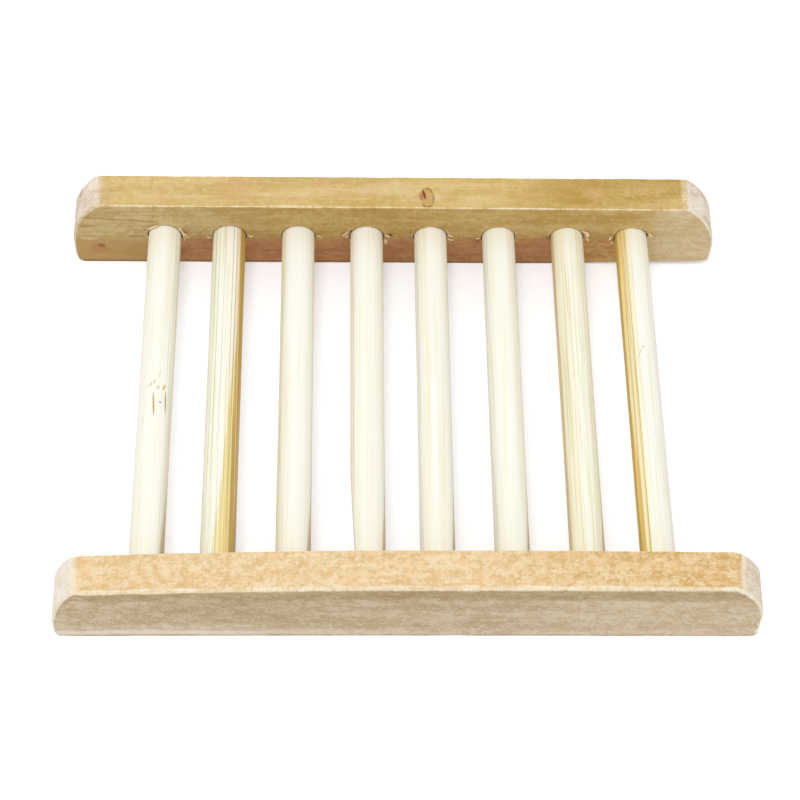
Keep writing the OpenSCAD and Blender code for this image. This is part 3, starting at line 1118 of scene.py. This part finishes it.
# Torn fibres: (dowel, direction, start, heading, turn, length, width, lift)
BACK_SPLINTERS = [
    (1, 148, 3.45, 57, -40, 2.4, 0.7, 0.35),
    (1, 42, 3.5, -48, -64, 3.9, 0.42, 0.5),
    (1, 12, 3.2, 70, -230, 1.9, 0.39, 0.6),
    (1, -8, 3.25, 60, -120, 1.4, 0.35, 0.4),
    (2, 184, 3.3, 200, -60, 0.9, 0.42, 0.25),
    (2, 4, 3.3, -20, 70, 1.1, 0.42, 0.3),
    (3, 2, 3.3, 60, -150, 1.1, 0.35, 0.3),
    (4, 158, 3.7, 214, 16, 1.4, 0.56, 0.35),
    (4, 172, 3.5, 240, -30, 0.8, 0.42, 0.25),
    (4, 8, 3.5, 40, -140, 1.0, 0.49, 0.4),
    (4, -14, 3.5, -60, -60, 0.9, 0.63, 0.4),
    (5, 12, 3.3, 40, -120, 1.2, 0.42, 0.45),
    (5, -8, 3.4, -30, 60, 1.0, 0.35, 0.3),
    (6, 184, 3.3, 160, 60, 0.8, 0.42, 0.25),
    (7, 24, 3.4, 20, -130, 1.3, 0.63, 0.5),
    (7, -2, 3.5, -20, -80, 1.0, 0.42, 0.35),
    (7, 34, 3.3, 30, -90, 1.5, 0.6, 0.45),
    (7, 12, 3.6, -70, 40, 1.2, 0.5, 0.5),
    (8, 178, 3.5, 200, 80, 0.8, 0.49, 0.35),
    (8, 196, 3.5, 250, 60, 0.6, 0.42, 0.3),
    (8, 22, 3.6, -50, 20, 0.9, 0.56, 0.4),
]
FRONT_TEARS = {
    1: [(170, 20, 0.3), (10, 14, 0.25)],
    2: [(14, 18, 0.35)],
    3: [(184, 14, 0.3), (0, 16, 0.2)],
    4: [(168, 22, 0.4)],
    5: [(8, 14, 0.3), (200, 10, 0.2)],
    6: [(176, 16, 0.35)],
    7: [(10, 20, 0.3), (150, 14, 0.2)],
    8: [(184, 16, 0.3), (20, 10, 0.25)],
}
FRONT_SPLINTERS = [
    (1, 172, 3.4, 200, 60, 1.2, 0.35, 0.35),
    (2, 10, 3.4, -30, 80, 1.4, 0.3, 0.4),
    (3, 186, 3.3, 240, -60, 1.0, 0.3, 0.3),
    (4, 166, 3.5, 150, 120, 1.5, 0.4, 0.4),
    (5, 6, 3.4, 30, -120, 1.1, 0.3, 0.35),
    (6, 178, 3.4, 210, -40, 1.2, 0.35, 0.3),
    (7, 12, 3.4, -20, -70, 1.3, 0.35, 0.35),
    (8, 182, 3.4, 220, 60, 1.0, 0.3, 0.3),
]


def keep_in_box(points):
    """Points held inside the CAD model's box."""
    low, high = np.array(cad_box) / MM
    return np.clip(points, low, high)


def end_reach(z, radius, drop):
    """How far an end lies in from the rail's end at height z: by an arc that starts drop below the top."""
    rise = np.clip(z - (rail_h - drop), 0, drop)
    return radius - np.sqrt(radius ** 2 - rise ** 2)


# A rounded end's own shape comes in over this stretch from the middle
RESANDED_FROM = (48, 54)


def resanded(x, depth, z, side, inner, outer, shift):
    """How far the left (-1) or right (1) end moves so that it's rounded by its own arcs.

    inner and outer are the radius and drop of the arc on each face; shift moves the whole end outwards.
    """
    share = depth / rail_w
    own = (1 - share) * end_reach(z, *inner) + share * end_reach(z, *outer)
    outwards = end_reach(z, END_ROUND_R, END_ROUND_DROP) - own + shift
    return side * outwards * smoothstep(*RESANDED_FROM, side * x)


# The ends' own shapes: side, arc on the inner face, arc on the outer face, how far the end moves out
BACK_ENDS = [(-1, (15.0, 11.0), (13.0, 10.1), 0.0), (1, (16.3, 12.4), (15.5, 11.9), 0.3)]
FRONT_ENDS = [(-1, (14.0, 11.0), (16.3, 12.4), -0.15), (1, (12.0, 9.8), (13.6, 11.1), 0.0)]
# How far the back rail's foot rises and its inner arris falls, and the stretches of x for both
BACK_FOOT_LIFT = 1.1
LIFTED_X = (22, 60)
BACK_SANDED = 0.3
SANDED_X = (-25, 60)
# Its toes draw in: side, how far to the right, over what height
BACK_TOES = ((-1, 0.35, 3), (1, -0.25, 5))
TOE_X = (52, 58)
BACK_SHAPE = Outline(1.1, 0.0)


def shape_back(points):
    """The back rail in its place. Its base rises and its inner arris falls slightly to the right."""
    x, depth, z = points.T
    lift = BACK_FOOT_LIFT * smoothstep(*LIFTED_X, x) * (1 - z / rail_h) ** 3
    sanded = BACK_SANDED * smoothstep(*SANDED_X, x) * (1 - depth / rail_w) * np.clip(z / rail_h, 0, 1) ** 4
    toe = sum(size * np.clip(1 - z / height, 0, 1) ** 2 * smoothstep(*TOE_X, side * x)
              for side, size, height in BACK_TOES)
    for end in BACK_ENDS:
        x = x + resanded(x, depth, z, *end)
    return keep_in_box(np.stack([x + toe + back_shift, rail_span / 2 + depth, z + lift - sanded], axis=-1))


# How far the front rail's faces bow inwards at its middle
FRONT_INNER_BOW = 0.3
FRONT_OUTER_BOW = 0.11
FRONT_SHAPE = Outline(0.5, 1.9)
# Notches torn out of the front rail's lower right corner: height, half height, depth
NOTCHES = ((4.7, 0.9, 0.7), (2.3, 0.8, 0.45), (0.0, 0.4, 0.1))
NOTCH_X = (rail_l / 2 - 2.0, rail_l / 2 - 0.2)
NOTCH_DEPTHS = (1.5, 6.5)
# Its left end draws in towards its lowest part, and swells a little below its arc
FRONT_TOE = 0.6
FRONT_TOE_H = 1.5
FRONT_SWELL = 0.2
SWELL_Z = (5, 7.5)
FRONT_TOE_X = (rail_l / 2 - 5, rail_l / 2 - 1)
# A shallow chip out of its lower front edge: place, half length from whole depth to none, height
CHIP_PLACE = 8.0
CHIP_REACH = (0.6, 2.6)
CHIP_H = 0.25
CHIP_Z = 0.8
CHIP_DEPTHS = (3, 7)


def shape_front(points):
    """The front rail in its place: bowed slightly inwards, and torn at its lower right corner."""
    x, depth, z = points.T
    bow = FRONT_INNER_BOW + (FRONT_OUTER_BOW - FRONT_INNER_BOW) * depth / rail_w
    bow = bow * (1 - np.clip(2 * np.abs(x) / rail_l, 0, 1) ** 2)
    tear = sum(size * np.clip(1 - np.abs(z - place) / reach, 0, 1) for place, reach, size in NOTCHES)
    tear = tear * smoothstep(*NOTCH_X, x) * smoothstep(*NOTCH_DEPTHS, depth)
    toe = FRONT_TOE * np.clip(1 - z / FRONT_TOE_H, 0, 1) ** 2 - FRONT_SWELL * (1 - smoothstep(*SWELL_Z, z))
    toe = toe * smoothstep(*FRONT_TOE_X, -x)
    for end in FRONT_ENDS:
        x = x + resanded(x, depth, z, *end)
    x = x - tear + toe
    chip = CHIP_H * (1 - smoothstep(*CHIP_REACH, np.abs(x - CHIP_PLACE)))
    chip = chip * (1 - smoothstep(0, CHIP_Z, z)) * smoothstep(*CHIP_DEPTHS, depth)
    return keep_in_box(np.stack([x + front_shift, -(rail_span / 2 + depth - bow), z + chip], axis=-1))


# For the left and right end: where the end grain's colour starts, its lean and blend, the wear before it
FRONT_END_STARTS = ((1.8, 0.3, 1.3, 0.3), (1.57, 0.0, 0.3, 0.8))
BACK_END_STARTS = ((-0.6, 0.3, 0.7, 0.5), (-0.3, 0.1, 0.5, 0.5))
# Sizes of the arrises on the top, the ends and the base, and how much they wander
FRONT_INNER_ARRIS = (0.12, 0.25, 0.12)
FRONT_OUTER_ARRIS = (0.56, 0.4, 0.15)
FRONT_WAVE = 0.2
BACK_INNER_ARRIS = (0.22, 0.32, 0.12)
BACK_OUTER_ARRIS = (0.15, 0.25, 0.12)
BACK_WAVE = 0.3
# Seeds of each rail's unevenness and of its wood
FRONT_SEED = 11
FRONT_WOOD_SEED = 3.0
BACK_SEED = 61
BACK_WOOD_SEED = 8.0

front_mesh = rail_mesh(
    FRONT_SHAPE, dowel_places[:, 0] - front_shift, FRONT_SEED, FRONT_INNER_ARRIS, FRONT_OUTER_ARRIS,
    FRONT_WAVE, FRONT_END_STARTS, FRONT_TEARS, FRONT_SPLINTERS)
front_wood = rail_wood("front_rail_wood", FRONT_WOOD_SEED, FRONT_LOOKS, front_marks)
front = front_mesh.build("front_rail_wood", front_wood, flip=True, deform=shape_front)
back_mesh = rail_mesh(
    BACK_SHAPE, dowel_places[:, 0] - back_shift, BACK_SEED, BACK_INNER_ARRIS, BACK_OUTER_ARRIS,
    BACK_WAVE, BACK_END_STARTS, BACK_TEARS, BACK_SPLINTERS)
back_wood = rail_wood("back_rail_wood", BACK_WOOD_SEED, BACK_LOOKS, back_marks)
back = back_mesh.build("back_rail_wood", back_wood, deform=shape_back)

DOWEL_BEVEL = 0.4
DOWEL_RINGS = 150
DOWEL_SIDES = 96
# How far a dowel's skin lies in at most, by a noise with this size round it and this length along it
DOWEL_HOLLOW = 0.06
HOLLOW_ROUND = 3
HOLLOW_L = 18
# The dowel whose left side is shaved: its number, how deep, and from whole depth at one y to none
SHAVED_DOWEL = 4
SHAVE = 1.05
SHAVE_FROM = -38
SHAVE_TO = -10


def dowel_mesh(number):
    """A dowel along Y: rings round its axis that are very slightly uneven, closed at both ends."""
    place = dowel_places[number - 1]
    half = dowel_l / 2
    inner = np.linspace(-half + DOWEL_BEVEL, half - DOWEL_BEVEL, DOWEL_RINGS)
    y = np.concatenate([[-half], inner, [half]])[:, None]
    radius = np.full(y.shape, dowel_r)
    radius[[0, -1]] = dowel_r - DOWEL_BEVEL
    angle = np.linspace(0, -2 * math.pi, DOWEL_SIDES, endpoint=False)[None]
    ring = [10 + HOLLOW_ROUND * value for value in (np.cos(angle) + 0 * y, np.sin(angle) + 0 * y)]
    r = radius - DOWEL_HOLLOW / 2 * (1 + value_noise(300 + number, *ring, y / HOLLOW_L + 20))
    x = r * np.sin(angle)
    if number == SHAVED_DOWEL:
        x = np.maximum(x, SHAVE * (1 - smoothstep(SHAVE_FROM, SHAVE_TO, y)) - dowel_r)
    points = np.stack([place[0] + x, y + 0 * x, place[2] + r * np.cos(angle)], axis=-1)
    parts = MeshParts()
    parts.add_tube(points, [(place[0], -half, place[2]), (place[0], half, place[2])])
    return parts


for piece, node in ((front, "front_rail"), (back, "back_rail")):
    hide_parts(node)
    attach(piece, "root")

for number, (node, (lines_share, stripes)) in enumerate(zip(DOWELS, DOWEL_LOOKS), 1):
    piece = dowel_mesh(number).build(f"{node}_bamboo", dowel_bamboo(number, lines_share, stripes))
    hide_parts(node)
    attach(piece, "root")


# Floor, light and camera

# Half the floor's side, in metres
FLOOR_HALF = 3.0
# The floor as it lights the dish
FLOOR_PLAIN = (228, 224, 218)
# What the camera sees of it: a white that takes shadows, and a glow that fills them up
WHITE = (1.0, 1.0, 1.0, 1.0)
FLOOR_GLOW = (0.27, 0.28, 0.33, 1.0)


def seen_directly(sheet):
    """1 for a ray from the camera or through a mirror or glass, 0 for a ray that only carries light."""
    path = sheet.node("ShaderNodeLightPath", {}, {}, None)
    named = {value.socket.name: value for value in path}
    seen = sheet.most(named["Is Camera Ray"], named["Is Glossy Ray"])
    return sheet.most(seen, named["Is Transmission Ray"])


def add_floor():
    """A wide floor that shows as plain white and keeps a faint shadow of the dish."""
    mesh = bpy.data.meshes.new("floor")
    signs = ((-1, -1), (1, -1), (1, 1), (-1, 1))
    mesh.from_pydata([(u * FLOOR_HALF, v * FLOOR_HALF, 0) for u, v in signs], [], [(0, 1, 2, 3)])
    floor = add_object("floor", mesh)
    sheet = Sheet(bpy.data.materials.new("floor_white"))
    plain = sheet.node("ShaderNodeBsdfDiffuse", {}, {"Color": paint(*FLOOR_PLAIN)})
    catch = sheet.node("ShaderNodeBsdfDiffuse", {}, {"Color": WHITE})
    glow = sheet.node("ShaderNodeEmission", {}, {"Color": FLOOR_GLOW, "Strength": 1.0})
    shown = sheet.node("ShaderNodeAddShader", {}, {0: catch, 1: glow})
    shader = sheet.node("ShaderNodeMixShader", {}, {0: seen_directly(sheet), 1: plain, 2: shown})
    sheet.node("ShaderNodeOutputMaterial", {}, {"Surface": shader}, None)
    floor.data.materials.append(sheet.owner)


WORLD_LIGHT = 0.76


def add_world():
    """Even light from all round, seen directly as plain white."""
    world = bpy.data.worlds.new("studio")
    bpy.context.scene.world = world
    sheet = Sheet(world)
    soft = sheet.node("ShaderNodeBackground", {}, {"Color": WHITE, "Strength": WORLD_LIGHT})
    shown = sheet.node("ShaderNodeBackground", {}, {"Color": WHITE, "Strength": 1.0})
    mixed = sheet.node("ShaderNodeMixShader", {}, {0: seen_directly(sheet), 1: soft, 2: shown})
    sheet.node("ShaderNodeOutputWorld", {}, {"Surface": mixed}, None)


def pointed(place, x, y, z):
    """The matrix of something at place whose own axes point along x, y and z."""
    matrix = np.eye(4)
    matrix[:3, :4] = np.stack([x, y, z, place], axis=-1)
    return Matrix(matrix.tolist())


def facing_axes(back):
    """Right, up and backward directions of something that faces away from back, held level."""
    z = back / np.linalg.norm(back)
    x = np.cross((0, 0, 1), z)
    x = x / np.linalg.norm(x)
    return x, np.cross(z, x), z


# The lamp's place and size in metres, and its power in watts
KEY_PLACE = np.array([-0.085, -0.10, 0.62])
KEY_SIZE = 0.2
KEY_POWER = 1.02


def add_key_light():
    """One soft lamp above the dish, a little to the left and to the front."""
    lamp = bpy.data.lights.new("key", "AREA")
    lamp.shape = "SQUARE"
    lamp.size = KEY_SIZE
    lamp.energy = KEY_POWER
    key = add_object("key", lamp)
    key.matrix_world = pointed(KEY_PLACE, *facing_axes(KEY_PLACE))


CAMERA_ELEVATION = math.radians(57.564)
CAMERA_AZIMUTH = math.radians(-2.892)
CAMERA_ROLL = math.radians(2.631)
CAMERA_DISTANCE = 383.9
CAMERA_TARGET = np.array([0.14, 4.83, 0.0])
CAMERA_LENS = 96.03
CAMERA_SENSOR = 36.0
# The nearest that the camera sees, in metres
CAMERA_CLIP = 0.01


def add_camera():
    """The photograph's camera: above and in front of the dish, turned a little about its own axis."""
    level = math.cos(CAMERA_ELEVATION)
    back_dir = np.array([
        math.sin(CAMERA_AZIMUTH) * level, -math.cos(CAMERA_AZIMUTH) * level, math.sin(CAMERA_ELEVATION)])
    x, y, z = facing_axes(back_dir)
    right = math.cos(CAMERA_ROLL) * x + math.sin(CAMERA_ROLL) * y
    up = -math.sin(CAMERA_ROLL) * x + math.cos(CAMERA_ROLL) * y
    data = bpy.data.cameras.new("camera")
    data.sensor_width = CAMERA_SENSOR
    data.sensor_fit = "HORIZONTAL"
    data.lens = CAMERA_LENS
    data.clip_start = CAMERA_CLIP
    camera = add_object("camera", data)
    camera.matrix_world = pointed((CAMERA_TARGET + back_dir * CAMERA_DISTANCE) * MM, right, up, z)
    bpy.context.scene.camera = camera


add_floor()
add_world()
add_key_light()
add_camera()
bpy.context.scene.view_settings.view_transform = "Standard"
